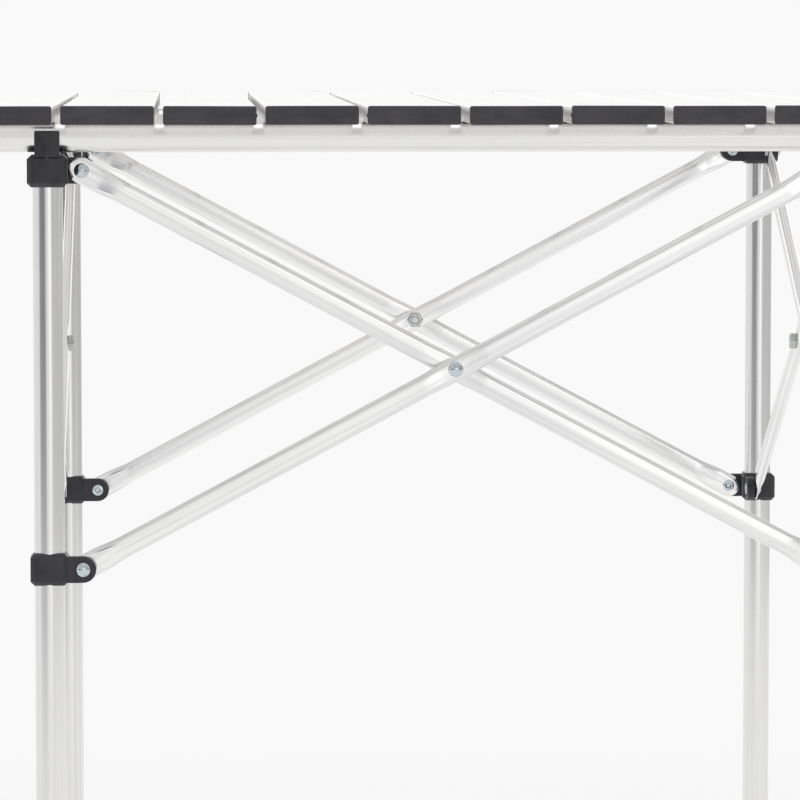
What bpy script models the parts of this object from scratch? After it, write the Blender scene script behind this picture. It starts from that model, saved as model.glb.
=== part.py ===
"""Folding camp table: a roll-up top of aluminium slats on two rails, carried by four
legs that fold together on a scissor frame. Metres, +Z up, origin on the floor under the
middle of the top. The front faces -Y."""

import math

import bmesh
import bpy
from mathutils import Matrix

# Whole table
TABLE_HEIGHT = 0.700
LEG_SPACING = 0.485
SEAT_GAP = 0.0003
FOLD_CLEARANCE = 0.0004

# Slats of the roll-up top, with a moulded cap pressed into each end
SLAT_COUNT = 12
SLAT_PITCH = 0.0587
SLAT_LENGTH = 0.685
SLAT_WIDTH = 0.0530
SLAT_THICKNESS = 0.0104
SLAT_WALL = 0.0012
SLAT_CORNER = 0.0009
CAP_WIDTH = 0.0536
CAP_HEIGHT = 0.0109
CAP_THICKNESS = 0.0040
CAP_CORNER = 0.0014
CAP_FRONT_BEVEL = 0.0007
CORD_HOLE_RADIUS = 0.0016
CORD_HOLE_SETBACK = 0.140

# Round rails under the slats
RAIL_LENGTH = 0.684
RAIL_DIAMETER = 0.018
RAIL_WALL = 0.0012

# Legs and feet
LEG_DIAMETER = 0.018
LEG_WALL = 0.0012
FOOT_HEIGHT = 0.030
FOOT_FLOOR = 0.004
FOOT_WALL = 0.0022
FOOT_FLARE = 0.0014
FOOT_FLARE_HEIGHT = 0.009
FOOT_CHAMFER = 0.0010

# Moulded brackets at the leg tops and sliders on the legs
BRACKET_WIDTH = 0.0240
SLIDER_WIDTH = 0.0226
COLLAR_HEIGHT = 0.0191
COLLAR_CHAMFER = 0.0024
BRACKET_ROOF = 0.0025
SLIDE_CLEARANCE = 0.00035
SADDLE_HEIGHT = 0.0012
CLIP_WIDTH = 0.0148
CLIP_HEIGHT = 0.0129
CLIP_THICKNESS = 0.0025
CLIP_BACK_HEIGHT = 0.0030
CLIP_EDGE = 0.0006
RIB_WIDTH = 0.0020
RIB_HEIGHT = 0.0085
RIB_PROUD = 0.0010
EAR_RADIUS = 0.00785
EAR_THICKNESS = 0.0050
PIVOT_REACH = 0.0200

# Scissor bars
BAR_LENGTH = 0.5043
BAR_WIDTH = 0.0132
BAR_THICKNESS = 0.0064
BAR_END_RADIUS = 0.0078
BAR_END_THICKNESS = 0.0024
BAR_END_RUN = 0.0110
BAR_SHOULDER = 0.0070
PINCH_THICKNESS = 0.0044
PINCH_WIDTH = 0.0140
PINCH_HALF = 0.0060
PINCH_RUN = 0.0100

# Rivets at the bar ends, bolts where the bars cross
SHANK_RADIUS = 0.0024
HEAD_RADIUS = 0.0045
HEAD_HEIGHT = 0.0023
TAIL_RADIUS = 0.0039
TAIL_HEIGHT = 0.0010
TAIL_BORE = 0.0014
NUT_RADIUS = 0.0057
NUT_HEIGHT = 0.0034
BOLT_PROUD = 0.0006
SPACER_RADIUS = 0.0055

# Facets round each kind of turned piece
TUBE_STEPS = 24
FOOT_STEPS = 16
RIVET_STEPS = 10
HOLE_STEPS = 12
CORD_HOLE_STEPS = 6
EAR_STEPS = 12
BAR_EDGE_STEPS = 3

# Heights that follow from the sizes above
CAP_LIP = (CAP_HEIGHT - SLAT_THICKNESS) / 2
SLAT_TOP = TABLE_HEIGHT - CAP_LIP
RAIL_TOP = SLAT_TOP - SLAT_THICKNESS - SEAT_GAP
RAIL_AXIS = RAIL_TOP - RAIL_DIAMETER / 2
RAIL_BOTTOM = RAIL_TOP - RAIL_DIAMETER
BRACKET_TOP = RAIL_BOTTOM - SEAT_GAP - SADDLE_HEIGHT
TOP_PIVOT = BRACKET_TOP - COLLAR_HEIGHT / 2
PIVOT_SPAN = LEG_SPACING - 2 * PIVOT_REACH
BAR_ANGLE = math.acos(PIVOT_SPAN / BAR_LENGTH)
SLIDER_PIVOT = TOP_PIVOT - BAR_LENGTH * math.sin(BAR_ANGLE)

# Layers across a scissor, from its middle plane, outwards negative
BAR_LAYER = (BAR_THICKNESS + FOLD_CLEARANCE) / 2
EAR_NEAR = BAR_LAYER + BAR_END_THICKNESS / 2 + SEAT_GAP
EAR_FAR = EAR_NEAR + EAR_THICKNESS
HOLE_RADIUS = SHANK_RADIUS + SEAT_GAP
LEG_RADIUS = LEG_DIAMETER / 2
CLIP_FACE = RAIL_DIAMETER / 2 + SEAT_GAP + CLIP_THICKNESS

CORNERS = ("front_left", "front_right", "rear_right", "rear_left")
FACES = ("front", "right", "rear", "left")


def clear_scene():
    for old in list(bpy.data.objects):
        bpy.data.objects.remove(old, do_unlink=True)


def make_material(name, colour, roughness, metallic=0.0):
    material = bpy.data.materials.new(name)
    material.use_nodes = True
    shader = material.node_tree.nodes["Principled BSDF"]
    shader.inputs["Base Color"].default_value = (*colour, 1.0)
    shader.inputs["Roughness"].default_value = roughness
    shader.inputs["Metallic"].default_value = metallic
    return material


def make_empty(name, position):
    empty = bpy.data.objects.new(name, None)
    empty.location = position
    empty.empty_display_size = 0.02
    bpy.context.scene.collection.objects.link(empty)
    return empty


def make_object(name, shape, place, parent, material=None, smooth=None):
    """One object from a bmesh, placed in the world by a matrix, under its body's empty."""
    bmesh.ops.recalc_face_normals(shape, faces=shape.faces)
    mesh = bpy.data.meshes.new(name)
    shape.to_mesh(mesh)
    shape.free()
    if smooth is not None:
        mesh.shade_smooth()
        mesh.set_sharp_from_angle(angle=math.radians(smooth))
    obj = bpy.data.objects.new(name, mesh)
    bpy.context.scene.collection.objects.link(obj)
    obj.parent = parent
    obj.matrix_basis = Matrix.Translation(-parent.location) @ place
    if material:
        mesh.materials.append(material)
    return obj


def combine(obj, shape, operation, place):
    """Joins on or cuts away a helper shape, which stays out of the model as a wire guide."""
    helper = make_object(obj.name + "_" + operation.lower(), shape, place, obj.parent)
    helper.hide_render = True
    helper.display_type = "WIRE"
    modifier = obj.modifiers.new(operation.title(), "BOOLEAN")
    modifier.operation = operation
    modifier.solver = "EXACT"
    modifier.object = helper


def quarter_turns(count):
    return Matrix.Rotation(math.radians(90 * count), 4, "Z")


def ring_faces(shape, rings, closed=False):
    """Quads between rings of equal count, one after the other."""
    pairs = list(zip(rings, rings[1:]))
    if closed:
        pairs.append((rings[-1], rings[0]))
    for low, high in pairs:
        for i in range(len(low)):
            j = (i + 1) % len(low)
            shape.faces.new((low[i], low[j], high[j], high[i]))


def add_loft(shape, rings):
    """A closed body through rings of points of equal count."""
    made = [[shape.verts.new(point) for point in ring] for ring in rings]
    ring_faces(shape, made)
    shape.faces.new(made[0])
    shape.faces.new(made[-1])


def add_prism(shape, outline, start, end, put):
    """A flat outline carried from start to end. put turns (a, b, depth) into a point."""
    add_loft(shape, [[put(a, b, depth) for a, b in outline] for depth in (start, end)])


def turned_ring(shape, radius, height, steps, put):
    ring = []
    for i in range(steps):
        angle = 2 * math.pi * i / steps
        ring.append(shape.verts.new(put(radius * math.cos(angle), radius * math.sin(angle), height)))
    return ring


def add_turned(shape, profile, steps, put):
    """A body turned from (radius, height) points that start and end on the axis."""
    low, *middle, high = profile
    rings = [turned_ring(shape, radius, height, steps, put) for radius, height in middle]
    ring_faces(shape, rings)
    for (_, height), ring in ((low, rings[0]), (high, rings[-1])):
        pole = shape.verts.new(put(0, 0, height))
        for i in range(steps):
            shape.faces.new((pole, ring[i], ring[(i + 1) % steps]))


def add_pipe(shape, radius, wall, start, end, put):
    """A round tube, open at both ends."""
    profile = [(radius - wall, start), (radius, start), (radius, end), (radius - wall, end)]
    rings = [turned_ring(shape, r, height, TUBE_STEPS, put) for r, height in profile]
    ring_faces(shape, rings, closed=True)


def add_rod(shape, radius, start, end, put, steps):
    add_turned(shape, [(0, start), (radius, start), (radius, end), (0, end)], steps, put)


def along_x(a, b, depth):
    return (depth, a, b)


def along_y(a, b, depth):
    return (a, depth, b)


def along_z(a, b, depth):
    return (a, b, depth)


def arc(centre_a, centre_b, radius, first, last, steps):
    points = []
    for i in range(steps + 1):
        angle = math.radians(first + (last - first) * i / steps)
        points.append((centre_a + radius * math.cos(angle), centre_b + radius * math.sin(angle)))
    return points


def cut_box(width, bottom, top, corner):
    """A rectangle about the middle line with its corners cut."""
    half = width / 2
    return [
        (corner - half, bottom),
        (half - corner, bottom),
        (half, bottom + corner),
        (half, top - corner),
        (half - corner, top),
        (corner - half, top),
        (-half, top - corner),
        (-half, bottom + corner),
    ]


# Slats with their end caps


def slat_centre(index):
    return (index - (SLAT_COUNT - 1) / 2) * SLAT_PITCH


def gap_before(index):
    """Middle of the gap on the left of a slat, half way through the slats."""
    return (slat_centre(index) - SLAT_PITCH / 2, 0, SLAT_TOP - SLAT_THICKNESS / 2)


def make_slat(index, parent, aluminium):
    """A hollow extrusion closed by its two caps, with a row of small holes through it at
    each end for the elastic cords that string the slats together."""
    place = Matrix.Translation((slat_centre(index), 0, SLAT_TOP))
    bevel = CAP_FRONT_BEVEL
    low = -SLAT_THICKNESS - CAP_LIP
    plate = cut_box(CAP_WIDTH, low, CAP_LIP, CAP_CORNER)
    face = cut_box(CAP_WIDTH - 2 * bevel, low + bevel, CAP_LIP - bevel, CAP_CORNER)
    body = cut_box(SLAT_WIDTH, -SLAT_THICKNESS, 0, SLAT_CORNER)
    end = SLAT_LENGTH / 2
    seat = end - CAP_THICKNESS
    half = [(face, end), (plate, end - bevel), (plate, seat), (body, seat)]
    stations = [(outline, -depth) for outline, depth in half] + half[::-1]
    shape = bmesh.new()
    add_loft(shape, [[along_y(a, b, depth) for a, b in outline] for outline, depth in stations])
    obj = make_object(f"slat_{index + 1:02d}", shape, place, parent, aluminium)

    hollow = cut_box(SLAT_WIDTH - 2 * SLAT_WALL, SLAT_WALL - SLAT_THICKNESS, -SLAT_WALL, SLAT_CORNER)
    shape = bmesh.new()
    add_prism(shape, hollow, -seat, seat, along_y)
    combine(obj, shape, "DIFFERENCE", place)
    shape = bmesh.new()
    for hole_y in (CORD_HOLE_SETBACK - end, end - CORD_HOLE_SETBACK):

        def put(a, b, depth):
            return (depth, hole_y + a, b - SLAT_THICKNESS / 2)

        add_rod(shape, CORD_HOLE_RADIUS, -SLAT_WIDTH, SLAT_WIDTH, put, CORD_HOLE_STEPS)
    combine(obj, shape, "DIFFERENCE", place)


# Rails, legs and feet


def make_rail(face, side, parent, aluminium):
    place = Matrix.Translation((0, side * LEG_SPACING / 2, RAIL_AXIS))
    shape = bmesh.new()
    add_pipe(shape, RAIL_DIAMETER / 2, RAIL_WALL, -RAIL_LENGTH / 2, RAIL_LENGTH / 2, along_x)
    make_object("rail_" + face, shape, place, parent, aluminium, smooth=40)


def leg_place(corner):
    middle = Matrix.Translation((-LEG_SPACING / 2, -LEG_SPACING / 2, 0))
    return quarter_turns(corner) @ middle


def make_leg(corner, parent, aluminium):
    bottom = FOOT_FLOOR + SEAT_GAP
    top = BRACKET_TOP - BRACKET_ROOF - SEAT_GAP
    shape = bmesh.new()
    add_pipe(shape, LEG_RADIUS, LEG_WALL, bottom, top, along_z)
    make_object("leg_" + CORNERS[corner], shape, leg_place(corner), parent, aluminium, smooth=40)


def make_foot(corner, parent, rubber):
    bore = LEG_RADIUS + SEAT_GAP
    wall = bore + FOOT_WALL
    flare = wall + FOOT_FLARE
    profile = [
        (0, 0),
        (flare - FOOT_CHAMFER, 0),
        (flare, FOOT_CHAMFER),
        (flare, FOOT_FLARE_HEIGHT),
        (wall, FOOT_FLARE_HEIGHT + FOOT_FLARE),
        (wall, FOOT_HEIGHT - FOOT_CHAMFER),
        (wall - FOOT_CHAMFER, FOOT_HEIGHT),
        (bore, FOOT_HEIGHT),
        (bore, FOOT_FLOOR),
        (0, FOOT_FLOOR),
    ]
    shape = bmesh.new()
    add_turned(shape, profile, FOOT_STEPS, along_z)
    make_object("foot_" + CORNERS[corner], shape, leg_place(corner), parent, rubber, smooth=30)


# Brackets and sliders


def collar_shape(width, bottom):
    """A square collar with every edge cut."""
    shape = bmesh.new()
    middle = Matrix.Translation((0, 0, bottom + COLLAR_HEIGHT / 2))
    size = Matrix.Diagonal((width, width, COLLAR_HEIGHT, 1))
    bmesh.ops.create_cube(shape, size=1, matrix=middle @ size)
    bmesh.ops.bevel(shape, geom=shape.edges[:], offset=COLLAR_CHAMFER, segments=1, affect="EDGES")
    return shape


def add_ear(shape, pivot, near, far, put):
    """A lug with a round end at the pivot, from inside the collar, between two depths."""
    root = LEG_RADIUS + SLIDE_CLEARANCE
    outline = [(root, pivot - EAR_RADIUS)]
    outline += arc(PIVOT_REACH, pivot, EAR_RADIUS, -90, 90, EAR_STEPS)
    outline.append((root, pivot + EAR_RADIUS))
    add_prism(shape, outline, near, far, put)


def add_rivet_hole(shape, pivot, put):
    def centred(a, b, depth):
        return put(PIVOT_REACH + a, pivot + b, depth)

    reach = EAR_FAR + EAR_THICKNESS
    add_rod(shape, HOLE_RADIUS, -reach, reach, centred, HOLE_STEPS)


def clip_outline():
    """Side view of the clip before the rail's bed is cut, rail bottom at zero, outwards
    positive: a low back lip and a tall front tab."""
    middle = RAIL_DIAMETER / 4
    back = -RAIL_DIAMETER / 2 - SEAT_GAP
    root = -SEAT_GAP - SADDLE_HEIGHT - COLLAR_CHAMFER / 2
    return [
        (back, root),
        (CLIP_FACE, root),
        (CLIP_FACE, CLIP_HEIGHT - CLIP_EDGE),
        (CLIP_FACE - CLIP_EDGE, CLIP_HEIGHT),
        (middle, CLIP_HEIGHT),
        (middle, CLIP_BACK_HEIGHT),
        (back, CLIP_BACK_HEIGHT),
    ]


def rib_outline():
    """Side view of the gusset on the tab's face, tapering into it at its top."""
    inside = CLIP_FACE - CLIP_THICKNESS / 2
    root = -SEAT_GAP - SADDLE_HEIGHT - COLLAR_CHAMFER
    return [
        (inside, root),
        (CLIP_FACE + RIB_PROUD, root),
        (CLIP_FACE + RIB_PROUD, RIB_HEIGHT / 3),
        (CLIP_FACE - RIB_PROUD / 4, RIB_HEIGHT),
        (inside, RIB_HEIGHT),
    ]


def make_top_bracket(corner, parent, plastic):
    """The moulding on a leg top. Its clip faces the front or the rear of the table, and
    its two ears reach along the two sides of the frame."""
    place = leg_place(corner)
    bottom = BRACKET_TOP - COLLAR_HEIGHT
    shape = collar_shape(BRACKET_WIDTH, bottom)
    obj = make_object("top_bracket_" + CORNERS[corner], shape, place, parent, plastic)
    clip_place = place @ quarter_turns(-(corner % 2)) @ Matrix.Translation((0, 0, RAIL_BOTTOM))
    rail_place = clip_place @ Matrix.Translation((0, 0, RAIL_DIAMETER / 2))

    def outwards(a, b, depth):
        return (depth, -a, b)

    shape = bmesh.new()
    add_ear(shape, TOP_PIVOT, EAR_NEAR, EAR_FAR, along_y)
    add_ear(shape, TOP_PIVOT, -EAR_FAR, -EAR_NEAR, along_x)
    combine(obj, shape, "UNION", place)
    shape = bmesh.new()
    add_prism(shape, clip_outline(), -CLIP_WIDTH / 2, CLIP_WIDTH / 2, outwards)
    combine(obj, shape, "UNION", clip_place)
    shape = bmesh.new()
    add_prism(shape, rib_outline(), -RIB_WIDTH / 2, RIB_WIDTH / 2, outwards)
    combine(obj, shape, "UNION", clip_place)
    shape = bmesh.new()
    bed = RAIL_DIAMETER / 2 + SEAT_GAP
    add_rod(shape, bed, -BRACKET_WIDTH, BRACKET_WIDTH, along_x, TUBE_STEPS)
    combine(obj, shape, "DIFFERENCE", rail_place)
    shape = bmesh.new()
    bore = LEG_RADIUS + SEAT_GAP
    add_rod(shape, bore, bottom - COLLAR_HEIGHT, BRACKET_TOP - BRACKET_ROOF, along_z, TUBE_STEPS)
    add_rivet_hole(shape, TOP_PIVOT, along_y)
    add_rivet_hole(shape, TOP_PIVOT, along_x)
    combine(obj, shape, "DIFFERENCE", place)


def make_slider(corner, parent, plastic):
    """The collar that slides on a leg and carries the lower ends of two bars."""
    place = leg_place(corner)
    bottom = SLIDER_PIVOT - COLLAR_HEIGHT / 2
    top = SLIDER_PIVOT + COLLAR_HEIGHT / 2
    shape = collar_shape(SLIDER_WIDTH, bottom)
    obj = make_object("slider_" + CORNERS[corner], shape, place, parent, plastic)
    shape = bmesh.new()
    add_ear(shape, SLIDER_PIVOT, -EAR_FAR, -EAR_NEAR, along_y)
    add_ear(shape, SLIDER_PIVOT, EAR_NEAR, EAR_FAR, along_x)
    combine(obj, shape, "UNION", place)
    shape = bmesh.new()
    bore = LEG_RADIUS + SLIDE_CLEARANCE
    add_rod(shape, bore, bottom - COLLAR_HEIGHT, top + COLLAR_HEIGHT, along_z, TUBE_STEPS)
    add_rivet_hole(shape, SLIDER_PIVOT, along_y)
    add_rivet_hole(shape, SLIDER_PIVOT, along_x)
    combine(obj, shape, "DIFFERENCE", place)


# Scissor bars and their fasteners


def bar_section(width, thickness):
    """A flat oval, thickness along the first value and width along the second."""
    radius = thickness / 2
    flat = (width - thickness) / 2
    points = arc(0, flat, radius, 0, 180, BAR_EDGE_STEPS)
    return points + arc(0, -flat, radius, 180, 360, BAR_EDGE_STEPS)


def bar_stations():
    """Distance from the first pivot, width and thickness along half a bar."""
    stations = []
    for degrees in (25, 55, 90):
        angle = math.radians(degrees)
        reach = -BAR_END_RADIUS * math.cos(angle)
        stations.append((reach, 2 * BAR_END_RADIUS * math.sin(angle), BAR_END_THICKNESS))
    stations.append((BAR_END_RUN, 2 * BAR_END_RADIUS, BAR_END_THICKNESS))
    stations.append((BAR_END_RUN + BAR_SHOULDER, BAR_WIDTH, BAR_THICKNESS))
    stations.append((BAR_LENGTH / 2 - PINCH_HALF - PINCH_RUN, BAR_WIDTH, BAR_THICKNESS))
    stations.append((BAR_LENGTH / 2 - PINCH_HALF, PINCH_WIDTH, PINCH_THICKNESS))
    return stations


def bar_shape(origin):
    half = bar_stations()
    whole = half + [(BAR_LENGTH - reach, width, thick) for reach, width, thick in reversed(half)]
    shape = bmesh.new()
    rings = []
    for reach, width, thick in whole:
        rings.append([(reach - origin, a, b) for a, b in bar_section(width, thick)])
    add_loft(shape, rings)
    return shape


def head_profile(seat):
    """Domed head from its top to the shank, outside a seat at a depth."""
    head = seat - SEAT_GAP
    part = 0.65
    dome = (HEAD_RADIUS * part, head - HEAD_HEIGHT * (1 - part**2))
    return [(0, head - HEAD_HEIGHT), dome, (HEAD_RADIUS, head), (SHANK_RADIUS, head)]


def rivet_shape(reach, outer, inner):
    """A rivet through what lies between two depths: domed head outside, hollow tail inside."""
    tail = inner + SEAT_GAP
    profile = head_profile(outer) + [
        (SHANK_RADIUS, tail),
        (TAIL_RADIUS, tail),
        (TAIL_RADIUS - TAIL_HEIGHT / 2, tail + TAIL_HEIGHT),
        (TAIL_BORE, tail + TAIL_HEIGHT),
        (TAIL_BORE, tail),
        (0, tail),
    ]
    shape = bmesh.new()
    add_turned(shape, profile, RIVET_STEPS, lambda a, b, depth: (reach + a, depth, b))
    return shape


def make_crossing_bolt(face, reach, place, parent, steel):
    """The bolt where two bars cross, in one piece with the spacer between the bars and
    the hexagon nut inside. Depths are from the middle plane of the outer bar."""
    pinch = PINCH_THICKNESS / 2
    across = 2 * BAR_LAYER
    nut = across + pinch + SEAT_GAP
    low = pinch + SEAT_GAP
    high = across - pinch - SEAT_GAP
    profile = head_profile(-pinch) + [
        (SHANK_RADIUS, low),
        (SPACER_RADIUS, low),
        (SPACER_RADIUS, high),
        (SHANK_RADIUS, high),
        (SHANK_RADIUS, nut + NUT_HEIGHT + BOLT_PROUD),
        (0, nut + NUT_HEIGHT + BOLT_PROUD),
    ]

    def put(a, b, depth):
        return (reach + a, depth, b)

    shape = bmesh.new()
    add_turned(shape, profile, RIVET_STEPS, put)
    obj = make_object("crossing_bolt_" + FACES[face], shape, place, parent, steel, smooth=35)
    shape = bmesh.new()
    add_rod(shape, NUT_RADIUS, nut, nut + NUT_HEIGHT, put, 6)
    combine(obj, shape, "UNION", place)


def make_bar(face, layer, origin, parent, aluminium, steel):
    """One bar of a scissor with its fasteners. The inner bar falls to the right seen from
    outside, with its ends outside their ears. The outer bar rises to the right, with its
    ends inside their ears, and carries the bolt at the crossing."""
    falling = layer == "inner"
    start = (-PIVOT_SPAN / 2, BAR_LAYER if falling else -BAR_LAYER, TOP_PIVOT if falling else SLIDER_PIVOT)
    tilt = BAR_ANGLE if falling else -BAR_ANGLE
    side = quarter_turns(face) @ Matrix.Translation((0, -LEG_SPACING / 2, 0))
    place = side @ Matrix.Translation(start) @ Matrix.Rotation(tilt, 4, "Y")
    place = place @ Matrix.Translation((origin, 0, 0))
    name = f"{FACES[face]}_{layer}"
    obj = make_object("bar_" + name, bar_shape(origin), place, parent, aluminium, smooth=40)
    first, middle, last = -origin, BAR_LENGTH / 2 - origin, BAR_LENGTH - origin
    shape = bmesh.new()
    for reach in (first, middle, last):

        def put(a, b, depth):
            return (reach + a, depth, b)

        add_rod(shape, HOLE_RADIUS, -BAR_THICKNESS, BAR_THICKNESS, put, HOLE_STEPS)
    combine(obj, shape, "DIFFERENCE", place)

    plate = BAR_END_THICKNESS / 2
    ear = plate + SEAT_GAP + EAR_THICKNESS
    outer, inner = (-plate, ear) if falling else (-ear, plate)
    ends = ("top", "bottom") if falling else ("bottom", "top")
    for reach, end in zip((first, last), ends):
        shape = rivet_shape(reach, outer, inner)
        make_object(f"rivet_{name}_{end}", shape, place, parent, steel, smooth=40)
    if not falling:
        make_crossing_bolt(face, middle, place, parent, steel)


def pivot_place(face, reach, height):
    """World position of a pivot of one scissor, from its place seen from outside."""
    return (quarter_turns(face) @ Matrix.Translation((reach, -LEG_SPACING / 2, height))).translation


def make_frame(tube, bar_metal, plastic, steel, rubber):
    half = PIVOT_SPAN / 2
    crossing = (TOP_PIVOT + SLIDER_PIVOT) / 2

    # Each leg's empty stands at the pivot by which the leg moves. The front left leg is
    # the fixed one.
    leg_pivots = ((0, -half), (0, half), (2, -half), (3, -half))
    for corner, (face, reach) in enumerate(leg_pivots):
        body = make_empty("body_leg_" + CORNERS[corner], pivot_place(face, reach, TOP_PIVOT))
        make_leg(corner, body, tube)
        make_foot(corner, body, rubber)
        make_top_bracket(corner, body, plastic)
        if CORNERS[corner] == "front_left":
            make_rail("front", -1, body, tube)
        if CORNERS[corner] == "rear_left":
            make_rail("rear", 1, body, tube)
        body = make_empty("body_slider_" + CORNERS[corner], pivot_place(face, reach, SLIDER_PIVOT))
        make_slider(corner, body, plastic)

    # On the front and right the falling bar hangs on the frame and carries the rising
    # one. On the rear and left it is the other way round.
    for face, name in enumerate(FACES):
        inner_first = name in ("front", "right")
        inner_pivot = (-half, TOP_PIVOT) if inner_first else (0, crossing)
        outer_pivot = (0, crossing) if inner_first else (half, TOP_PIVOT)
        body = make_empty(f"body_bar_{name}_inner", pivot_place(face, *inner_pivot))
        make_bar(face, "inner", 0 if inner_first else BAR_LENGTH / 2, body, bar_metal, steel)
        body = make_empty(f"body_bar_{name}_outer", pivot_place(face, *outer_pivot))
        make_bar(face, "outer", BAR_LENGTH / 2 if inner_first else BAR_LENGTH, body, bar_metal, steel)


clear_scene()
slat_aluminium = make_material("slat_aluminium", (0.80, 0.80, 0.81), 0.38, 1.0)
tube_aluminium = make_material("tube_aluminium", (0.78, 0.78, 0.79), 0.30, 1.0)
bar_aluminium = make_material("bar_aluminium", (0.86, 0.86, 0.86), 0.28, 1.0)
black_plastic = make_material("black_plastic", (0.035, 0.034, 0.037), 0.55)
zinc_steel = make_material("zinc_steel", (0.62, 0.66, 0.68), 0.22, 1.0)
foot_rubber = make_material("foot_rubber", (0.030, 0.030, 0.032), 0.75)
make_frame(tube_aluminium, bar_aluminium, black_plastic, zinc_steel, foot_rubber)
for slat in range(SLAT_COUNT):
    make_slat(slat, make_empty(f"body_slat_{slat + 1:02d}", gap_before(slat)), slat_aluminium)
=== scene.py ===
"""A folding camp table with a roll-up top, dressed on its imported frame. Metres, +Z up,
the front faces -Y."""

import math

import bmesh
import bpy
from mathutils import Matrix, Vector


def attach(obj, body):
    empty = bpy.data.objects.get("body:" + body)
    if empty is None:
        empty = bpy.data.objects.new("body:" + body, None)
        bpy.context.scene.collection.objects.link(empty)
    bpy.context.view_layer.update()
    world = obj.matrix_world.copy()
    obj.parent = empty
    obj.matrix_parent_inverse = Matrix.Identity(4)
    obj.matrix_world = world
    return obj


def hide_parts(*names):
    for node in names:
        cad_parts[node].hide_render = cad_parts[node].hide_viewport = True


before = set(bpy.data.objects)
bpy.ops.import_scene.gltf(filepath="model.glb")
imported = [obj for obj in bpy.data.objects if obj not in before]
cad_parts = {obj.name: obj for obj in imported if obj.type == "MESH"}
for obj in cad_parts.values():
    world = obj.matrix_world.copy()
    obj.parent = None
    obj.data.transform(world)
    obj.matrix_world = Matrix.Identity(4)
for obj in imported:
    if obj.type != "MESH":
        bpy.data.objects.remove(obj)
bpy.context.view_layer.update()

# The view: a long lens 3 m from the middle of the table, a little above its top.

bpy.ops.object.select_all(action="DESELECT")
bpy.ops.object.camera_add(
    location=(-0.1628, -2.9987, 0.7409),
    rotation=(math.radians(85.48), 0, math.radians(-2.695)),
)
view = bpy.context.object
view.name = "view"
view.data.lens = 208.3
view.data.sensor_width = 36
view.data.clip_end = 200
bpy.context.scene.camera = view
bpy.context.scene.view_settings.view_transform = "Standard"

# The studio: a pale floor in a pale room. The metals mirror the room greyer on the right and
# above, dark in a corner behind the lens on the left, and bright straight overhead, on the
# far side and round the lens. Two soft lamps above light the table and aren't mirrored.


class Tone:
    """A socket of a material, used in sums as a number is."""

    def __init__(self, tree, socket=None):
        self.tree = tree
        self.socket = socket

    def node(self, kind, settings=None, values=None, out=0):
        """One of the outputs of a new node. Values may be numbers or other sockets."""
        made = self.tree.nodes.new("ShaderNode" + kind)
        for name, setting in (settings or {}).items():
            setattr(made, name, setting)
        for name, value in (values or {}).items():
            if isinstance(value, Tone):
                self.tree.links.new(value.socket, made.inputs[name])
            else:
                made.inputs[name].default_value = value
        return Tone(self.tree, made.outputs[out])

    def sum(self, operation, first, second):
        return self.node("Math", {"operation": operation}, {0: first, 1: second})

    def __add__(self, other):
        return self.sum("ADD", self, other)

    def __radd__(self, other):
        return self.sum("ADD", other, self)

    def __sub__(self, other):
        return self.sum("SUBTRACT", self, other)

    def __rsub__(self, other):
        return self.sum("SUBTRACT", other, self)

    def __mul__(self, other):
        return self.sum("MULTIPLY", self, other)

    def __rmul__(self, other):
        return self.sum("MULTIPLY", other, self)

    def between(self, low, high):
        """0 below low, 1 above high, soft between them."""
        return self.node(
            "MapRange",
            {"interpolation_type": "SMOOTHSTEP"},
            {"Value": self, "From Min": low, "From Max": high, "To Min": 0.0, "To Max": 1.0},
        )

    def axis(self, name):
        return self.node("SeparateXYZ", None, {0: self}, "XYZ".index(name))

    def times(self, x, y, z):
        """A place stretched by a factor along each axis."""
        return self.node("VectorMath", {"operation": "MULTIPLY"}, {0: self, 1: (x, y, z)})

    def noise(self, scale, detail, roughness):
        values = {"Vector": self, "Scale": scale, "Detail": detail, "Roughness": roughness}
        return self.node("TexNoise", None, values)

    def ray(self, kind):
        """1 for rays of one kind, 0 for all others."""
        return self.node("LightPath", None, None, f"Is {kind} Ray")

    def mix(self, first, second):
        """From the first colour at 0 to the second at 1."""
        values = {"Factor": self}
        for name, colour in ((6, first), (7, second)):
            values[name] = colour if isinstance(colour, Tone) else (*colour, 1)
        return self.node("Mix", {"data_type": "RGBA"}, values, 2)


WHITE = 0.945
ROOM = 0.86
UPPER_ROOM = 0.68
RIGHT_SHADE = 0.29
CORNER_SHADE = 0.66
LENS_GLOW = 0.24
FAR_GLOW = 0.50
OVERHEAD_GLOW = 0.60
SOFTBOX_GLOW = 0.55
CORNER_TINT = (0.90, 0.93, 1.06)

world = bpy.data.worlds.new("room")
bpy.context.scene.world = world
world.use_nodes = True
start = Tone(world.node_tree)
heading = start.node("TexCoord", None, None, "Generated")
across, away, up = heading.axis("X"), heading.axis("Y"), heading.axis("Z")
grey_corner = (across * -0.669 - away * 0.743).between(0.84, 0.96)
bright_side = (across * 0.225 - away * 0.974).between(0.968, 0.996)
far_side = away.between(0.55, 0.90) * up.between(-0.02, 0.01)
dusk = grey_corner * up.between(-0.128, -0.095) * (1 - up.between(0.06, 0.18))
softbox = (across * 0.28 - away * 0.945 + up * 0.16).between(0.978, 0.990)
overhead = up.between(0.90, 0.98)
mirrored = ROOM - across.between(0.30, 0.60) * RIGHT_SHADE - dusk * CORNER_SHADE
mirrored = mirrored + bright_side * LENS_GLOW + far_side * FAR_GLOW
mirrored = mirrored - up.between(0.05, 0.45) * (mirrored - UPPER_ROOM)
mirrored = mirrored + overhead * OVERHEAD_GLOW + softbox * SOFTBOX_GLOW
lighting = 0.66 + across * 0.14 + up * 0.10
gloss = start.ray("Glossy")
shown = start.ray("Camera") + start.ray("Transmission")
level = gloss * mirrored + (1 - gloss) * lighting
level = level + shown.between(0.0, 1.0) * (WHITE - level)
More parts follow.
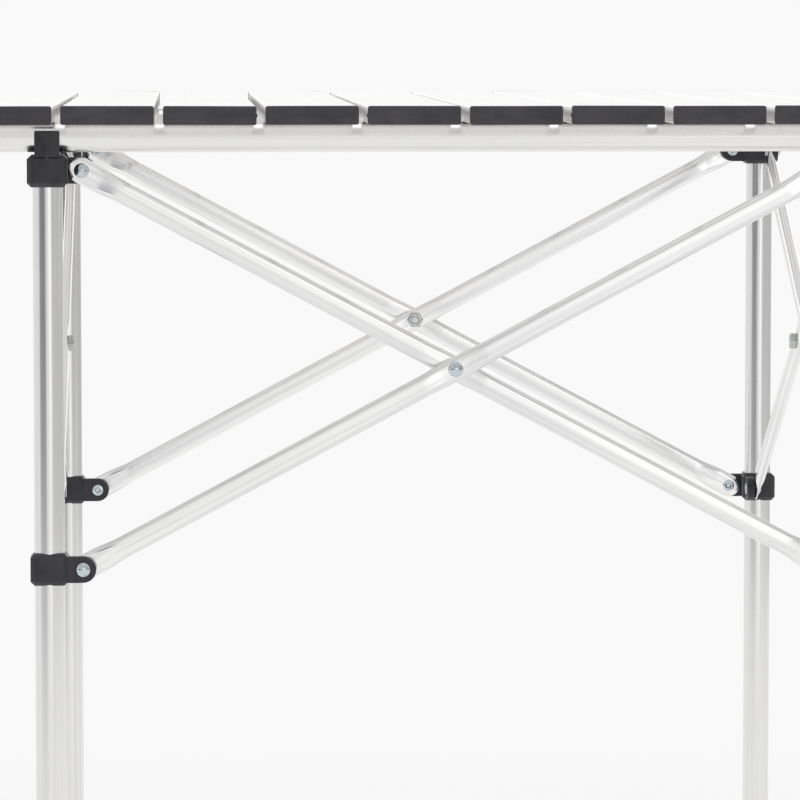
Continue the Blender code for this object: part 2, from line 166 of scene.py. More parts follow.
backdrop = world.node_tree.nodes["Background"]
cool = (gloss * dusk).mix((1, 1, 1), CORNER_TINT)
world.node_tree.links.new(cool.socket, backdrop.inputs["Color"])
world.node_tree.links.new(level.socket, backdrop.inputs["Strength"])

# Near the table the floor is partly matt paper, so that it keeps the shadow, and farther
# out it glows as white as the room.

FLOOR_REACH = 3.5
GLOW_NEAR = 0.45
GLOW_MIRRORED = 0.85

bpy.ops.mesh.primitive_circle_add(vertices=96, radius=FLOOR_REACH, fill_type="NGON", location=(0, 0, 0))
floor = bpy.context.object
floor.name = "floor"
floor.data.name = "floor"
paper = bpy.data.materials.new("pale_floor")
paper.use_nodes = True
start = Tone(paper.node_tree)
place = start.node("TexCoord", None, None, "Object")
far = start.node("VectorMath", {"operation": "LENGTH"}, {0: place}, 1)
direct = start.ray("Camera") + start.ray("Transmission")
own_light = direct * (GLOW_NEAR + far.between(0.6, 2.0) * (1 - GLOW_NEAR))
own_light = own_light + start.ray("Glossy") * GLOW_MIRRORED
glow = start.node("Emission", None, {"Color": (1, 1, 1, 1), "Strength": WHITE})
matt = start.node("BsdfDiffuse", None, {"Color": (0.86, 0.86, 0.86, 1)})
both = start.node("MixShader", None, {0: own_light, 1: matt, 2: glow})
paper.node_tree.links.new(both.socket, paper.node_tree.nodes["Material Output"].inputs["Surface"])
floor.data.materials.append(paper)


def add_lamp(name, place, aim, width, height, watts):
    """A soft lamp that lights and isn't seen in the metals."""
    turn = (Vector(aim) - Vector(place)).to_track_quat("-Z", "Y").to_euler()
    bpy.ops.object.light_add(type="AREA", location=place, rotation=turn)
    lamp = bpy.context.object
    lamp.name = name
    lamp.data.shape = "RECTANGLE"
    lamp.data.size = width
    lamp.data.size_y = height
    lamp.data.energy = watts
    lamp.visible_glossy = False


add_lamp("soft_lamp_right", (1.2, -2.8, 3.3), (0, 0, 0.5), width=1.8, height=1.4, watts=26)
add_lamp("soft_lamp_above", (-0.6, 0.4, 3.0), (0, 0, 0.4), width=2.4, height=2.4, watts=36)

# The slats of the roll-up top: hollow flat aluminium extrusions, satin anodised, with two
# small holes through each side wall where the hidden elastic cords pass.

SLAT_COUNT = 12
SLAT_PITCH = 0.0587
SLAT_TOP = 0.69975
SLAT_SIZE = (0.0530, 0.677, 0.0104)
SLAT_MIDDLE = SLAT_TOP - SLAT_SIZE[2] / 2
SLAT_WALL = 0.0012
SLAT_EDGE = 0.0009
CORD_HOLE_RADIUS = 0.0016
CORD_HOLE_REACH = 0.2025


def pick(piece, kind, wanted):
    """Selects in edit mode the verts, edges or faces that a test wants."""
    bpy.ops.mesh.select_mode(type={"verts": "VERT", "edges": "EDGE", "faces": "FACE"}[kind])
    bpy.ops.mesh.select_all(action="DESELECT")
    shape = bmesh.from_edit_mesh(piece.data)
    for part in getattr(shape, kind):
        if wanted(part):
            part.select_set(True)
    bmesh.update_edit_mesh(piece.data)


def edit(piece):
    """Opens a piece in edit mode with all of it selected."""
    bpy.ops.object.mode_set(mode="OBJECT")
    bpy.ops.object.select_all(action="DESELECT")
    piece.select_set(True)
    bpy.context.view_layer.objects.active = piece
    bpy.ops.object.mode_set(mode="EDIT")
    bpy.ops.mesh.select_all(action="SELECT")


def done(piece, smooth):
    """Leaves edit mode with the faces turned out, the place in the mesh, and the edges below
    an angle in degrees shaded smooth."""
    edit(piece)
    bpy.ops.mesh.remove_doubles(threshold=0.000002)
    bpy.ops.mesh.normals_make_consistent(inside=False)
    bpy.ops.object.mode_set(mode="OBJECT")
    bpy.ops.object.transform_apply(location=True, rotation=True, scale=True)
    bpy.ops.object.shade_smooth_by_angle(angle=math.radians(smooth))


def box(name, size, middle):
    """A block at its size and place, open for editing."""
    bpy.ops.object.select_all(action="DESELECT")
    bpy.ops.mesh.primitive_cube_add(size=1, location=middle)
    piece = bpy.context.object
    piece.name = piece.data.name = name
    piece.scale = size
    bpy.ops.object.transform_apply(location=True, rotation=True, scale=True)
    edit(piece)
    return piece


def lengthwise(edge, axis):
    """True for an edge that runs along an axis."""
    run = edge.verts[1].co - edge.verts[0].co
    return abs(run[axis]) > 0.99 * run.length


def apply_modifier(piece, name, kind, **settings):
    """Puts a modifier on a piece and applies it, as by hand."""
    bpy.ops.object.mode_set(mode="OBJECT")
    bpy.ops.object.select_all(action="DESELECT")
    piece.select_set(True)
    bpy.context.view_layer.objects.active = piece
    modifier = piece.modifiers.new(name, kind)
    for key, value in settings.items():
        setattr(modifier, key, value)
    bpy.ops.object.modifier_apply(modifier=modifier.name)


HOLE_STEPS = 24


def drill(piece, radius, length, middle, turn):
    """Takes a round hole out of a piece."""
    bpy.ops.object.mode_set(mode="OBJECT")
    bpy.ops.object.select_all(action="DESELECT")
    bpy.ops.mesh.primitive_cylinder_add(
        vertices=HOLE_STEPS, radius=radius, depth=length, location=middle, rotation=turn
    )
    bit = bpy.context.object
    bpy.ops.object.transform_apply(location=True, rotation=True, scale=True)
    apply_modifier(piece, "hole", "BOOLEAN", operation="DIFFERENCE", solver="EXACT", object=bit)
    bpy.data.objects.remove(bit, do_unlink=True)


def copy_to(master, name, place):
    """A copy with its own mesh, set down by a matrix that then goes into the mesh."""
    piece = master.copy()
    piece.data = master.data.copy()
    piece.name = piece.data.name = name
    bpy.context.scene.collection.objects.link(piece)
    bpy.ops.object.select_all(action="DESELECT")
    piece.select_set(True)
    bpy.context.view_layer.objects.active = piece
    piece.matrix_world = place
    bpy.ops.object.transform_apply(location=True, rotation=True, scale=True)
    return piece


def put_away(master):
    """Takes away a piece that only served to be copied."""
    bpy.data.objects.remove(master, do_unlink=True)


def new_finish(name):
    """A material, its shader, and the place on the piece to hang patterns on."""
    material = bpy.data.materials.new(name + "_finish")
    material.use_nodes = True
    shader = material.node_tree.nodes["Principled BSDF"]
    place = Tone(material.node_tree).node("TexCoord", None, None, "Object")
    return material, shader, place


def feed(shader, name, tone):
    """Drives one of the shader's sockets by a tone."""
    tone.tree.links.new(tone.socket, shader.inputs[name])


def bumps(shader, height, distance, strength):
    """Fine relief, its full depth given in metres."""
    values = {"Strength": strength, "Distance": distance, "Height": height}
    feed(shader, "Normal", height.node("Bump", None, values))


def drawn_metal(name, along, pale, dark, rough, grain, depth):
    """Satin aluminium with fine lines left by the die along one direction. along is the
    place on the piece, stretched so that its lines run that way."""
    material, shader, place = new_finish(name)
    lines = along(place)
    fine = lines.noise(1.0, 4.0, 0.7)
    broad = lines.noise(0.22, 2.0, 0.5)
    cloud = place.noise(9.0, 3.0, 0.5)
    marks = lines.noise(2.7, 2.0, 0.8).between(0.66, 0.80)
    tone = (0.62 * fine + 0.23 * broad + 0.15 * cloud).between(0.40, 0.60)
    feed(shader, "Base Color", tone.mix(dark, pale))
    feed(shader, "Roughness", rough + (fine - 0.5) * grain + marks * 0.10 + (cloud - 0.5) * 0.06)
    shader.inputs["Metallic"].default_value = 1.0
    bumps(shader, 0.7 * fine + 0.3 * broad - 0.4 * marks, depth, 0.55)
    return material


slat_finish = drawn_metal(
    "slat_aluminium",
    along=lambda place: place.times(520, 2, 520),
    pale=(0.92, 0.915, 0.905),
    dark=(0.87, 0.865, 0.86),
    rough=0.28,
    grain=0.10,
    depth=0.000005,
)


def slat_place(number):
    """Where a slat lies, counted from the left."""
    return Matrix.Translation(((number - (SLAT_COUNT + 1) / 2) * SLAT_PITCH, 0, 0))


slat = box("slat_master", SLAT_SIZE, (0, 0, SLAT_MIDDLE))
pick(slat, "edges", lambda edge: lengthwise(edge, 1))
bpy.ops.mesh.bevel(offset=SLAT_EDGE, offset_type="OFFSET", segments=4, affect="EDGES")
pick(slat, "faces", lambda face: abs(face.normal.y) > 0.9)
bpy.ops.mesh.delete(type="FACE")
apply_modifier(slat, "wall", "SOLIDIFY", thickness=SLAT_WALL, offset=-1)
for hole_y in (-CORD_HOLE_REACH, CORD_HOLE_REACH):
    drill(slat, CORD_HOLE_RADIUS, SLAT_SIZE[0] * 1.5, (0, hole_y, SLAT_MIDDLE), (0, math.pi / 2, 0))
done(slat, 40)
slat.data.materials.append(slat_finish)
for number in range(1, SLAT_COUNT + 1):
    piece = copy_to(slat, f"slat_{number:02d}_extrusion", slat_place(number))
    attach(piece, f"body_slat_{number:02d}")
    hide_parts(f"slat_{number:02d}")
put_away(slat)

# The slat end caps: moulded black plastic with a soft rim and a plug pressed into the
# slat. They sit a hair uneven, as pressed-in caps do.

CAP_SIZE = (0.0536, 0.0040, 0.0109)
CAP_MIDDLE = 0.69455
CAP_OUTER_FACE = 0.3425
CAP_CORNER = 0.0014
CAP_EDGE = 0.0007
PLUG_DEPTH = 0.010

# How low each cap of the front sits, in millimetres, and how far it leans, in degrees. The
# rear ones follow the same rows backwards and sit lower by the rear drop.

CAP_DROP = (0.14, 0.24, 0.10, 0.20, 0.09, 0.16, 0.25, 0.11, 0.21, 0.10, 0.18, 0.23)
CAP_TILT = (0.0, -0.14, 0.06, 0.16, -0.10, 0.04, -0.18, 0.12, -0.06, 0.15, -0.12, 0.0)
REAR_DROP = 0.17
RIM_WIDTH = 0.0004


def mark_rim(piece):
    """Notes the faces just made, a rounded edge, where the finish paints a lighter highlight and lowers the
    roughness.
    """
    bpy.ops.object.mode_set(mode="OBJECT")
    rim = piece.data.attributes.new("rim", "FLOAT", "FACE")
    points = piece.data.vertices
    for index, face in enumerate(piece.data.polygons):
        girth = sum((points[a].co - points[b].co).length for a, b in face.edge_keys)
        if face.select and 2 * face.area / girth < RIM_WIDTH:
            rim.data[index].value = 1.0
    bpy.ops.object.mode_set(mode="EDIT")


def rim_of(place):
    """1 on the faces that mark_rim noted."""
    return place.node("Attribute", {"attribute_name": "rim"}, None, "Fac")


cap_finish, shader, place = new_finish("cap_plastic")
grain = place.noise(900.0, 4.0, 0.65)
flow = place.times(1, 1, 2.2).noise(60.0, 3.0, 0.6)
specks = place.noise(2600.0, 1.0, 0.5).between(0.60, 0.72)
shade = (0.6 * flow + 0.4 * grain).between(0.36, 0.66)
# Painted highlight: the rounded rims get a lighter colour, patchy by noise, and less roughness.
painted_rim_highlight = rim_of(place) * place.noise(160.0, 3.0, 0.6).between(0.30, 0.70)
tone = shade.mix((0.0385, 0.0360, 0.0420), (0.0600, 0.0565, 0.0650))
feed(shader, "Base Color", (painted_rim_highlight * 0.55).mix(tone, (0.115, 0.105, 0.110)))
feed(shader, "Roughness", 0.46 + (grain - 0.5) * 0.22 + specks * 0.10 - painted_rim_highlight * 0.12)
bumps(shader, grain * 0.7 + flow * 0.5, 0.00005, 0.5)
shader.inputs["IOR"].default_value = 1.42

cap = box("cap_master", CAP_SIZE, (0, CAP_SIZE[1] / 2, CAP_MIDDLE))
pick(cap, "edges", lambda edge: lengthwise(edge, 1))
bpy.ops.mesh.bevel(offset=CAP_CORNER, offset_type="OFFSET", segments=5, affect="EDGES")
pick(cap, "faces", lambda face: face.normal.y < -0.9)
bpy.ops.mesh.bevel(offset=CAP_EDGE, offset_type="OFFSET", segments=4, affect="EDGES")
pick(cap, "faces", lambda face: -0.98 < face.normal.y < -0.15)
mark_rim(cap)
pick(cap, "faces", lambda face: face.normal.y < -0.99)
bpy.ops.mesh.inset(thickness=0.00035, depth=0)
bpy.ops.mesh.inset(thickness=0.00025, depth=-0.0002)
pick(cap, "faces", lambda face: face.normal.y > 0.9)
bpy.ops.mesh.inset(thickness=0.0013, depth=0)
bpy.ops.transform.resize(value=(0.984, 1, 0.90), center_override=(0, CAP_SIZE[1], CAP_MIDDLE))
bpy.ops.mesh.extrude_region_move(TRANSFORM_OT_translate={"value": (0, PLUG_DEPTH, 0)})
done(cap, 40)
cap.data.materials.append(cap_finish)


def add_nub(piece, side):
    """The stub that the mould's gate leaves on a cap's side."""
    edit(piece)
    pick(piece, "faces", lambda face: face.normal.x * side > 0.98 and face.calc_area() > 0.00001)
    bpy.ops.mesh.inset(thickness=0.0009, depth=0)
    bpy.ops.transform.resize(value=(1, 1, 0.34))
    bpy.ops.mesh.inset(thickness=0.0002, depth=0.0005)
    bpy.ops.object.mode_set(mode="OBJECT")


# The slats whose caps have a stub, and the side that it is on.

NUBS = {4: 1, 6: -1, 8: -1}
for number in range(1, SLAT_COUNT + 1):
    ends = (("front", 0, number - 1, 0), ("rear", 180, SLAT_COUNT - number, REAR_DROP))
    for end, turn, seat, extra in ends:
        drop = (CAP_DROP[seat] + extra) / 1000
        tilt = Matrix.Rotation(math.radians(CAP_TILT[seat]), 4, "Y")
        to_axis = Matrix.Translation((0, 0, -CAP_MIDDLE - drop))
        leaning = Matrix.Translation((0, 0, CAP_MIDDLE)) @ tilt @ to_axis
        spin = Matrix.Rotation(math.radians(turn), 4, "Z") @ Matrix.Translation((0, -CAP_OUTER_FACE, 0))
        piece = copy_to(cap, f"slat_{number:02d}_cap_{end}", slat_place(number) @ spin @ leaning)
        if number in NUBS:
            add_nub(piece, NUBS[number])
        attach(piece, f"body_slat_{number:02d}")
        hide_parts(f"slat_{number:02d}")
put_away(cap)

# The rails and legs: round aluminium tube, cut square and deburred, bright drawn and
# anodised. The slats rest on the two rails.

TUBE_RADIUS = 0.009
TUBE_WALL = 0.0012
TUBE_EDGE = 0.00025
TUBE_STEPS = 64
RAIL_LENGTH = 0.684
RAIL_AXIS = 0.68005
LEG_REACH = 0.2425
LEG_BOTTOM = 0.0043
LEG_TOP = 0.66675
CORNERS = ("front_left", "front_right", "rear_right", "rear_left")


def tube(name, length):
    """A round tube about Z, open at both ends, with its rims eased."""
    bpy.ops.object.select_all(action="DESELECT")
    bpy.ops.mesh.primitive_cylinder_add(
        vertices=TUBE_STEPS, radius=TUBE_RADIUS, depth=length, end_fill_type="NOTHING"
    )
    piece = bpy.context.object
    piece.name = piece.data.name = name
    apply_modifier(piece, "wall", "SOLIDIFY", thickness=TUBE_WALL, offset=-1, use_even_offset=True)
    edit(piece)
    pick(piece, "faces", lambda face: abs(face.normal.z) > 0.9)
    bpy.ops.mesh.bevel(offset=TUBE_EDGE, offset_type="OFFSET", segments=2, affect="EDGES")
    done(piece, 20)
    return piece


rail_finish = drawn_metal(
    "rail_tube",
    along=lambda place: place.times(2.5, 520, 520),
    pale=(0.89, 0.885, 0.87),
    dark=(0.82, 0.815, 0.80),
    rough=0.25,
    grain=0.08,
    depth=0.000006,
)
leg_finish = drawn_metal(
    "leg_tube",
    along=lambda place: place.times(520, 520, 2.5),
    pale=(0.86, 0.855, 0.845),
    dark=(0.79, 0.785, 0.775),
    rough=0.17,
    grain=0.07,
    depth=0.000006,
)

rail = tube("rail_master", RAIL_LENGTH)
for face, side in (("front", -1), ("rear", 1)):
    lie = Matrix.Translation((0, side * LEG_REACH, RAIL_AXIS)) @ Matrix.Rotation(math.pi / 2, 4, "Y")
    piece = copy_to(rail, "tube_rail_" + face, lie)
    piece.data.materials.append(rail_finish)
    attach(piece, f"body_leg_{face}_left")
    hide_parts("rail_" + face)
put_away(rail)


def corner_place(number, height):
    """Where a leg stands, counted round from the front left one."""
    first = Matrix.Translation((-LEG_REACH, -LEG_REACH, height))
    return Matrix.Rotation(math.radians(90 * number), 4, "Z") @ first


leg = tube("leg_master", LEG_TOP - LEG_BOTTOM)
for number, corner in enumerate(CORNERS):
    piece = copy_to(leg, "tube_leg_" + corner, corner_place(number, (LEG_TOP + LEG_BOTTOM) / 2))
    piece.data.materials.append(leg_finish)
    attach(piece, "body_leg_" + corner)
    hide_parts("leg_" + corner)
put_away(leg)

# The feet: soft black caps pushed over the leg ends, flared at the bottom, with grip rings.
# No view of them was at hand, so their shape is a guess.

# Radius and height of each ring, from inside the top edge down to the sole.

FOOT_PROFILE = (
    (0.0093, 0.0040), (0.0093, 0.0300), (0.0105, 0.0300), (0.0112, 0.0297), (0.0115, 0.0290),
    (0.0115, 0.0226), (0.0111, 0.0222), (0.0111, 0.0216), (0.0115, 0.0212), (0.0115, 0.0180),
    (0.0111, 0.0176), (0.0111, 0.0170), (0.0115, 0.0166), (0.0115, 0.0120), (0.0118, 0.0108),
    (0.0126, 0.0097), (0.0129, 0.0085), (0.0129, 0.0012), (0.0126, 0.0003), (0.0119, 0.0000),
    (0.0070, 0.0000), (0.0064, 0.0008),
)


def turned(name, profile, steps=48):
    """A piece of round section about Z, pulled from ring to ring and closed at both ends."""
    radius, height = profile[0]
    bpy.ops.object.select_all(action="DESELECT")
    bpy.ops.mesh.primitive_circle_add(
        vertices=steps, radius=radius, fill_type="NOTHING", location=(0, 0, height)
    )
    piece = bpy.context.object
    piece.name = piece.data.name = name
    bpy.ops.object.transform_apply(location=True, rotation=True, scale=True)
    edit(piece)
    for next_radius, next_height in profile[1:]:
        bpy.ops.mesh.extrude_edges_move(TRANSFORM_OT_translate={"value": (0, 0, next_height - height)})
        grow = next_radius / radius
        bpy.ops.transform.resize(value=(grow, grow, 1), center_override=(0, 0, next_height))
        radius, height = next_radius, next_height
    bpy.ops.mesh.edge_face_add()
    pick(piece, "edges", lambda edge: edge.is_boundary)
    bpy.ops.mesh.edge_face_add()
    done(piece, 40)
    return piece


foot_finish, shader, place = new_finish("foot_rubber")
grain = place.noise(1400.0, 4.0, 0.7)
dust = place.noise(70.0, 4.0, 0.6).between(0.50, 0.72) * place.axis("Z").between(0.014, 0.0)
feed(shader, "Base Color", (dust * 0.6 + grain * 0.25).mix((0.020, 0.020, 0.021), (0.085, 0.078, 0.068)))
feed(shader, "Roughness", 0.70 + (grain - 0.5) * 0.20 + dust * 0.15)
bumps(shader, grain, 0.00008, 0.5)

foot = turned("foot_master", FOOT_PROFILE)
foot.data.materials.append(foot_finish)
for number, corner in enumerate(CORNERS):
    piece = copy_to(foot, "cap_foot_" + corner, corner_place(number, 0))
    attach(piece, "body_leg_" + corner)
    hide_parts("foot_" + corner)
put_away(foot)

# The top brackets and sliders: glass-filled black nylon mouldings. A bracket sockets a
# leg, clips the rail and takes two bars on its ears. A slider runs on the leg.

TOP_PIVOT = 0.660
SLIDER_PIVOT = 0.4227375
MOULDED_EDGE = 0.00045
COLLAR_HALF = 0.00955

moulded_finish, shader, place = new_finish("bracket_plastic")
grain = place.noise(1100.0, 4.0, 0.65)
flow = place.times(1, 1, 0.35).noise(130.0, 3.0, 0.6)
glass = place.noise(3200.0, 1.0, 0.5).between(0.58, 0.70)
shade = (0.65 * flow + 0.35 * grain).between(0.36, 0.64)
# Painted highlight: the rounded rims get a lighter colour, patchy by noise, and less roughness.
painted_rim_highlight = rim_of(place) * place.noise(220.0, 3.0, 0.6).between(0.25, 0.65)
tone = shade.mix((0.0215, 0.0199, 0.0240), (0.0375, 0.0350, 0.0410))
feed(shader, "Base Color", (painted_rim_highlight * 0.6).mix(tone, (0.090, 0.085, 0.092)))
feed(shader, "Roughness", 0.36 + (grain - 0.5) * 0.18 + glass * 0.12 - painted_rim_highlight * 0.10)
bumps(shader, grain * 0.7 + flow * 0.6, 0.00005, 0.5)
shader.inputs["IOR"].default_value = 1.42


def moulding(node, name, body, middle):
    """The solid of a moulding, taken up from the frame, with its edges rounded as a
    mould leaves them, all but the rims of its bore. middle is the height of its pivots."""
    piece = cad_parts[node].copy()
    piece.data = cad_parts[node].data.copy()
    for key in [key for key in piece.keys() if key.startswith("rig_")]:
        del piece[key]
    piece.parent = None
    piece.name = piece.data.name = name
    bpy.context.scene.collection.objects.link(piece)
    edit(piece)
    bpy.ops.mesh.remove_doubles(threshold=0.000005)
    bpy.ops.mesh.dissolve_limited(angle_limit=math.radians(0.5))

    def showing(edge):
        """True for a sharp edge that is no part of a rim of the bore."""
        height = abs((edge.verts[0].co.z + edge.verts[1].co.z) / 2 - middle)
        sharp = len(edge.link_faces) == 2 and edge.calc_face_angle(0) > 0.5
        return sharp and abs(height - COLLAR_HALF) > 0.0002

    pick(piece, "edges", showing)
    bpy.ops.mesh.bevel(
        offset=MOULDED_EDGE, offset_type="OFFSET", segments=3, clamp_overlap=True, affect="EDGES"
    )
    mark_rim(piece)
    bpy.ops.object.mode_set(mode="OBJECT")
    bpy.ops.object.shade_smooth_by_angle(angle=math.radians(35))
    piece.data.materials.clear()
    piece.data.materials.append(moulded_finish)
    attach(piece, body)
    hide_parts(node)
    return piece


for corner in CORNERS:
    moulding("top_bracket_" + corner, "moulded_bracket_" + corner, "body_leg_" + corner, TOP_PIVOT)
    moulding("slider_" + corner, "moulded_slider_" + corner, "body_slider_" + corner, SLIDER_PIVOT)

# The scissor bars: round aluminium tube pressed to a flat oval, its ends pressed flat and
# cut round, and pinched where two bars cross.

BAR_LENGTH = 0.5043
BAR_WIDTH = 0.0132
BAR_THICKNESS = 0.0064
END_RADIUS = 0.0078
END_THICKNESS = 0.0024
END_SWELL = 1.04
END_RUN = 0.0100
SHOULDER = 0.0165
PINCH_THICKNESS = 0.0049
PINCH_WIDTH = 0.0140
PINCH_HALF = 0.0060
PINCH_RUN = 0.0150
STEADY_RUN = 0.0015
BORE_RADIUS = 0.0027
BAR_DROP = math.radians(28.0654)
BAR_LAYER = 0.0034
PIVOT_HALF_SPAN = 0.2225
FACES = ("front", "right", "rear", "left")


def eased(first, last, steps):
    """Stations from one section of the bar to another, evenly spaced along it. The width and
    the thickness start and end their change softly."""
    for step in range(1, steps + 1):
        even = step / steps
        soft = 0.25 * even + 0.75 * even * even * (3 - 2 * even)
        reach = first[0] + (last[0] - first[0]) * even
        width = first[1] + (last[1] - first[1]) * soft
        thick = first[2] + (last[2] - first[2]) * soft
        yield reach, width, thick


# The sections of a bar, as place along it, width and thickness: its round end, the flat with
# the rivet, the shoulder, the straight tube and the pinch at its middle.

half_bar = []
for degrees in (12, 24, 36, 48, 60, 75, 90):
    angle = math.radians(degrees)
    half_bar.append((-END_RADIUS * math.cos(angle), 2 * END_RADIUS * math.sin(angle), END_THICKNESS))
half_bar.append((END_RUN - STEADY_RUN, 2 * END_RADIUS, END_THICKNESS))
half_bar.append((END_RUN, 2 * END_RADIUS, END_THICKNESS * END_SWELL))
half_bar += eased(half_bar[-1], (END_RUN + SHOULDER, BAR_WIDTH, BAR_THICKNESS), 8)
half_bar.append((END_RUN + SHOULDER + STEADY_RUN, BAR_WIDTH, BAR_THICKNESS))
pinch_start = (BAR_LENGTH / 2 - PINCH_HALF - PINCH_RUN, BAR_WIDTH, BAR_THICKNESS)
half_bar.append((pinch_start[0] - STEADY_RUN, BAR_WIDTH, BAR_THICKNESS))
half_bar.append(pinch_start)
half_bar += eased(pinch_start, (BAR_LENGTH / 2 - PINCH_HALF, PINCH_WIDTH, PINCH_THICKNESS), 6)
whole_bar = half_bar + [(BAR_LENGTH - reach, width, thick) for reach, width, thick in reversed(half_bar)]

bpy.ops.object.select_all(action="DESELECT")
bpy.ops.mesh.primitive_plane_add(size=1, rotation=(0, math.pi / 2, 0))
bar = bpy.context.object
bar.name = bar.data.name = "bar_master"
bpy.ops.object.transform_apply(location=True, rotation=True, scale=True)
bar.scale = (1, BAR_THICKNESS, BAR_WIDTH)
bpy.ops.object.transform_apply(location=True, rotation=True, scale=True)
edit(bar)
bpy.ops.mesh.bevel(offset=BAR_THICKNESS * 0.4995, offset_type="OFFSET", segments=8, affect="VERTICES")
bpy.ops.mesh.delete(type="ONLY_FACE")
bpy.ops.mesh.select_mode(type="EDGE")
bpy.ops.mesh.select_all(action="SELECT")
reach, width, thick = 0.0, BAR_WIDTH, BAR_THICKNESS
for index, (next_reach, next_width, next_thick) in enumerate(whole_bar):
    if index:
        bpy.ops.mesh.extrude_edges_move(TRANSFORM_OT_translate={"value": (next_reach - reach, 0, 0)})
    else:
        bpy.ops.transform.translate(value=(next_reach, 0, 0))
    grow = (1, next_thick / thick, next_width / width)
    bpy.ops.transform.resize(value=grow, center_override=(next_reach, 0, 0))
    reach, width, thick = next_reach, next_width, next_thick
pick(bar, "edges", lambda edge: edge.is_boundary and edge.verts[0].co.x > 0)
bpy.ops.mesh.edge_face_add()
pick(bar, "edges", lambda edge: edge.is_boundary)
bpy.ops.mesh.edge_face_add()
done(bar, 40)
for hole_x in (0.0, BAR_LENGTH / 2, BAR_LENGTH):
    drill(bar, BORE_RADIUS, 0.02, (hole_x, 0, 0), (math.pi / 2, 0, 0))
done(bar, 32)
own_place = bar.data.attributes.new("along_bar", "FLOAT_VECTOR", "POINT")
for index, point in enumerate(bar.data.vertices):
    own_place.data[index].vector = point.co


def lines_along_bar(place):
    """The place on a bar before it was set down at its slant, stretched along it."""
    return place.node("Attribute", {"attribute_name": "along_bar"}, None, "Vector").times(2.5, 460, 460)


bar_finish = drawn_metal(
    "bar_aluminium",
    along=lines_along_bar,
    pale=(0.94, 0.935, 0.925),
    dark=(0.77, 0.765, 0.770),
    rough=0.15,
    grain=0.08,
    depth=0.000060,
)
bar.data.materials.append(bar_finish)


def bar_place(number, layer):
    """Where a bar of one side of the frame lies, from its first pivot along its length."""
    inner = layer == "inner"
    depth = BAR_LAYER if inner else -BAR_LAYER
    height = TOP_PIVOT if inner else SLIDER_PIVOT
    side = Matrix.Rotation(math.radians(90 * number), 4, "Z") @ Matrix.Translation((0, -LEG_REACH, 0))
    first = Matrix.Translation((-PIVOT_HALF_SPAN, depth, height))
    return side @ first @ Matrix.Rotation(BAR_DROP if inner else -BAR_DROP, 4, "Y")


for number, face in enumerate(FACES):
    for layer in ("inner", "outer"):
        piece = copy_to(bar, f"pressed_bar_{face}_{layer}", bar_place(number, layer))
        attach(piece, f"body_bar_{face}_{layer}")
        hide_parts(f"bar_{face}_{layer}")
put_away(bar)

# The rivets: zinc-plated steel, a domed head on one side and a hollow tail rolled over on
# the other, one through each bar end and its ear.

RIVET_GRIP = 0.0080
RIVET_SEAT = {"inner": -0.0015, "outer": -0.0068}

# Radius and height of each ring, from the dome of the head to the hollow of the tail.

RIVET_PROFILE = (
    (0.0006, -0.0023), (0.0014, -0.00222), (0.0022, -0.00198), (0.0030, -0.00155),
    (0.0037, -0.00100), (0.0042, -0.00050), (0.0045, -0.00010), (0.0045, 0.0),
    (0.0024, 0.0), (0.0024, RIVET_GRIP), (0.0036, RIVET_GRIP), (0.0039, RIVET_GRIP + 0.0003),
    (0.0038, RIVET_GRIP + 0.0008), (0.0033, RIVET_GRIP + 0.0010), (0.0025, RIVET_GRIP + 0.0010),
    (0.0019, RIVET_GRIP + 0.0007), (0.0015, RIVET_GRIP + 0.0002), (0.0014, RIVET_GRIP - 0.0015),
)

zinc_finish, shader, place = new_finish("zinc_steel")
crystals = place.noise(900.0, 3.0, 0.6)
stain = place.noise(240.0, 3.0, 0.55).between(0.42, 0.66)
feed(shader, "Base Color", (stain * 0.6 + crystals * 0.3).mix((0.64, 0.69, 0.73), (0.44, 0.49, 0.52)))
feed(shader, "Roughness", 0.07 + crystals * 0.08 + stain * 0.07)
bumps(shader, crystals, 0.00003, 0.4)
shader.inputs["Metallic"].default_value = 1.0

rivet = turned("rivet_master", RIVET_PROFILE, 32)
rivet.data.materials.append(zinc_finish)
upright = Matrix.Rotation(-math.pi / 2, 4, "X")
for number, face in enumerate(FACES):
    for layer in ("inner", "outer"):
        ends = ("top", "bottom") if layer == "inner" else ("bottom", "top")
        for end, reach in zip(ends, (0.0, BAR_LENGTH)):
            through = bar_place(number, layer) @ Matrix.Translation((reach, RIVET_SEAT[layer], 0)) @ upright
            piece = copy_to(rivet, f"round_rivet_{face}_{layer}_{end}", through)
            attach(piece, f"body_bar_{face}_{layer}")
            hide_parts(f"rivet_{face}_{layer}_{end}")
put_away(rivet)

# Where two bars cross: a domed bolt from outside, a round spacer between the bars and a
# hexagon nut inside, all plated steel.

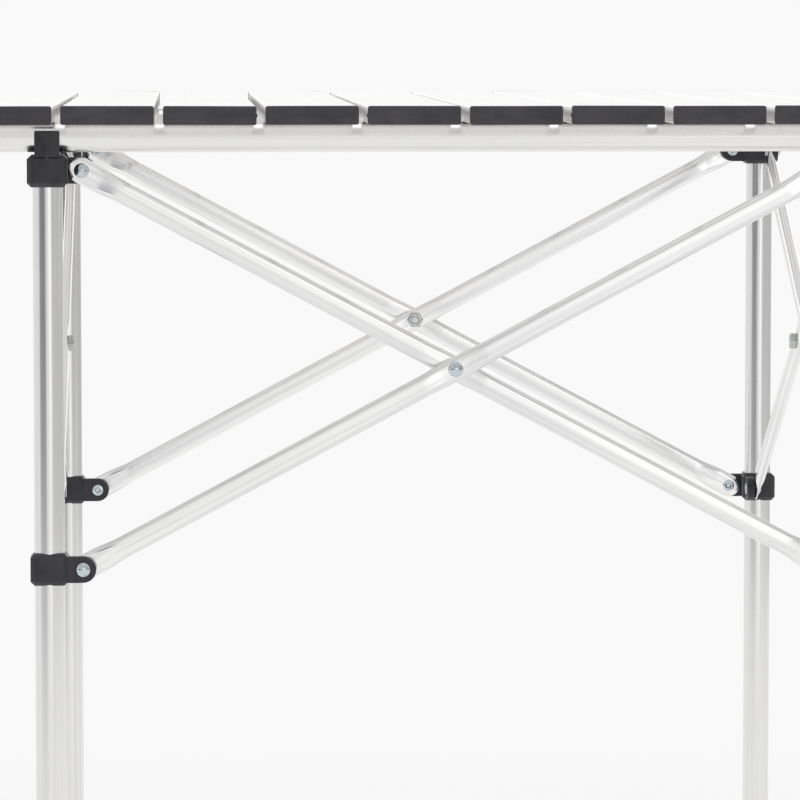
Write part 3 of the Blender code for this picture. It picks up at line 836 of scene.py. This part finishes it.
BOLT_PROFILE = (
    (0.0006, -0.0048), (0.0014, -0.00472), (0.0022, -0.00448), (0.0030, -0.00405),
    (0.0037, -0.00350), (0.0042, -0.00300), (0.0045, -0.00260), (0.0045, -0.0025),
    (0.0024, -0.0025), (0.0024, 0.0129), (0.0020, 0.0133),
)
SPACER_PROFILE = (
    (0.0024, 0.0025), (0.0052, 0.0025), (0.0055, 0.0027),
    (0.0055, 0.0041), (0.0052, 0.0043), (0.0024, 0.0043),
)
NUT_RADIUS = 0.0057
NUT_START = 0.0093
NUT_HEIGHT = 0.0034

nut_finish, shader, place = new_finish("nut_steel")
crystals = place.noise(700.0, 3.0, 0.6)
feed(shader, "Base Color", crystals.between(0.35, 0.65).mix((0.62, 0.63, 0.60), (0.42, 0.44, 0.41)))
feed(shader, "Roughness", 0.20 + crystals * 0.14)
bumps(shader, crystals, 0.00003, 0.4)
shader.inputs["Metallic"].default_value = 1.0

bolt = turned("bolt_master", BOLT_PROFILE, 32)
bolt.data.materials.append(zinc_finish)
spacer = turned("spacer_master", SPACER_PROFILE, 32)
spacer.data.materials.append(zinc_finish)
bpy.ops.object.select_all(action="DESELECT")
bpy.ops.mesh.primitive_cylinder_add(
    vertices=6, radius=NUT_RADIUS, depth=NUT_HEIGHT, location=(0, 0, NUT_START + NUT_HEIGHT / 2)
)
nut = bpy.context.object
nut.name = nut.data.name = "nut_master"
bpy.ops.object.transform_apply(location=True, rotation=True, scale=True)
edit(nut)
pick(nut, "faces", lambda face: face.normal.z > 0.9)
bpy.ops.mesh.inset(thickness=0.0004, depth=0.0002)
bpy.ops.mesh.inset(thickness=0.0018, depth=0)
bpy.ops.mesh.inset(thickness=0.0002, depth=-0.0004)
pick(nut, "edges", lambda edge: lengthwise(edge, 2) and edge.calc_length() > NUT_HEIGHT / 2)
bpy.ops.mesh.bevel(offset=0.0003, offset_type="OFFSET", segments=2, affect="EDGES")
done(nut, 30)
nut.data.materials.append(nut_finish)
for number, face in enumerate(FACES):
    through = bar_place(number, "outer") @ Matrix.Translation((BAR_LENGTH / 2, 0, 0)) @ upright
    for master, name in ((bolt, "cross_bolt_"), (spacer, "cross_spacer_"), (nut, "cross_nut_")):
        piece = copy_to(master, name + face, through)
        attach(piece, f"body_bar_{face}_outer")
        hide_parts("crossing_bolt_" + face)
for master in (bolt, spacer, nut):
    put_away(master)
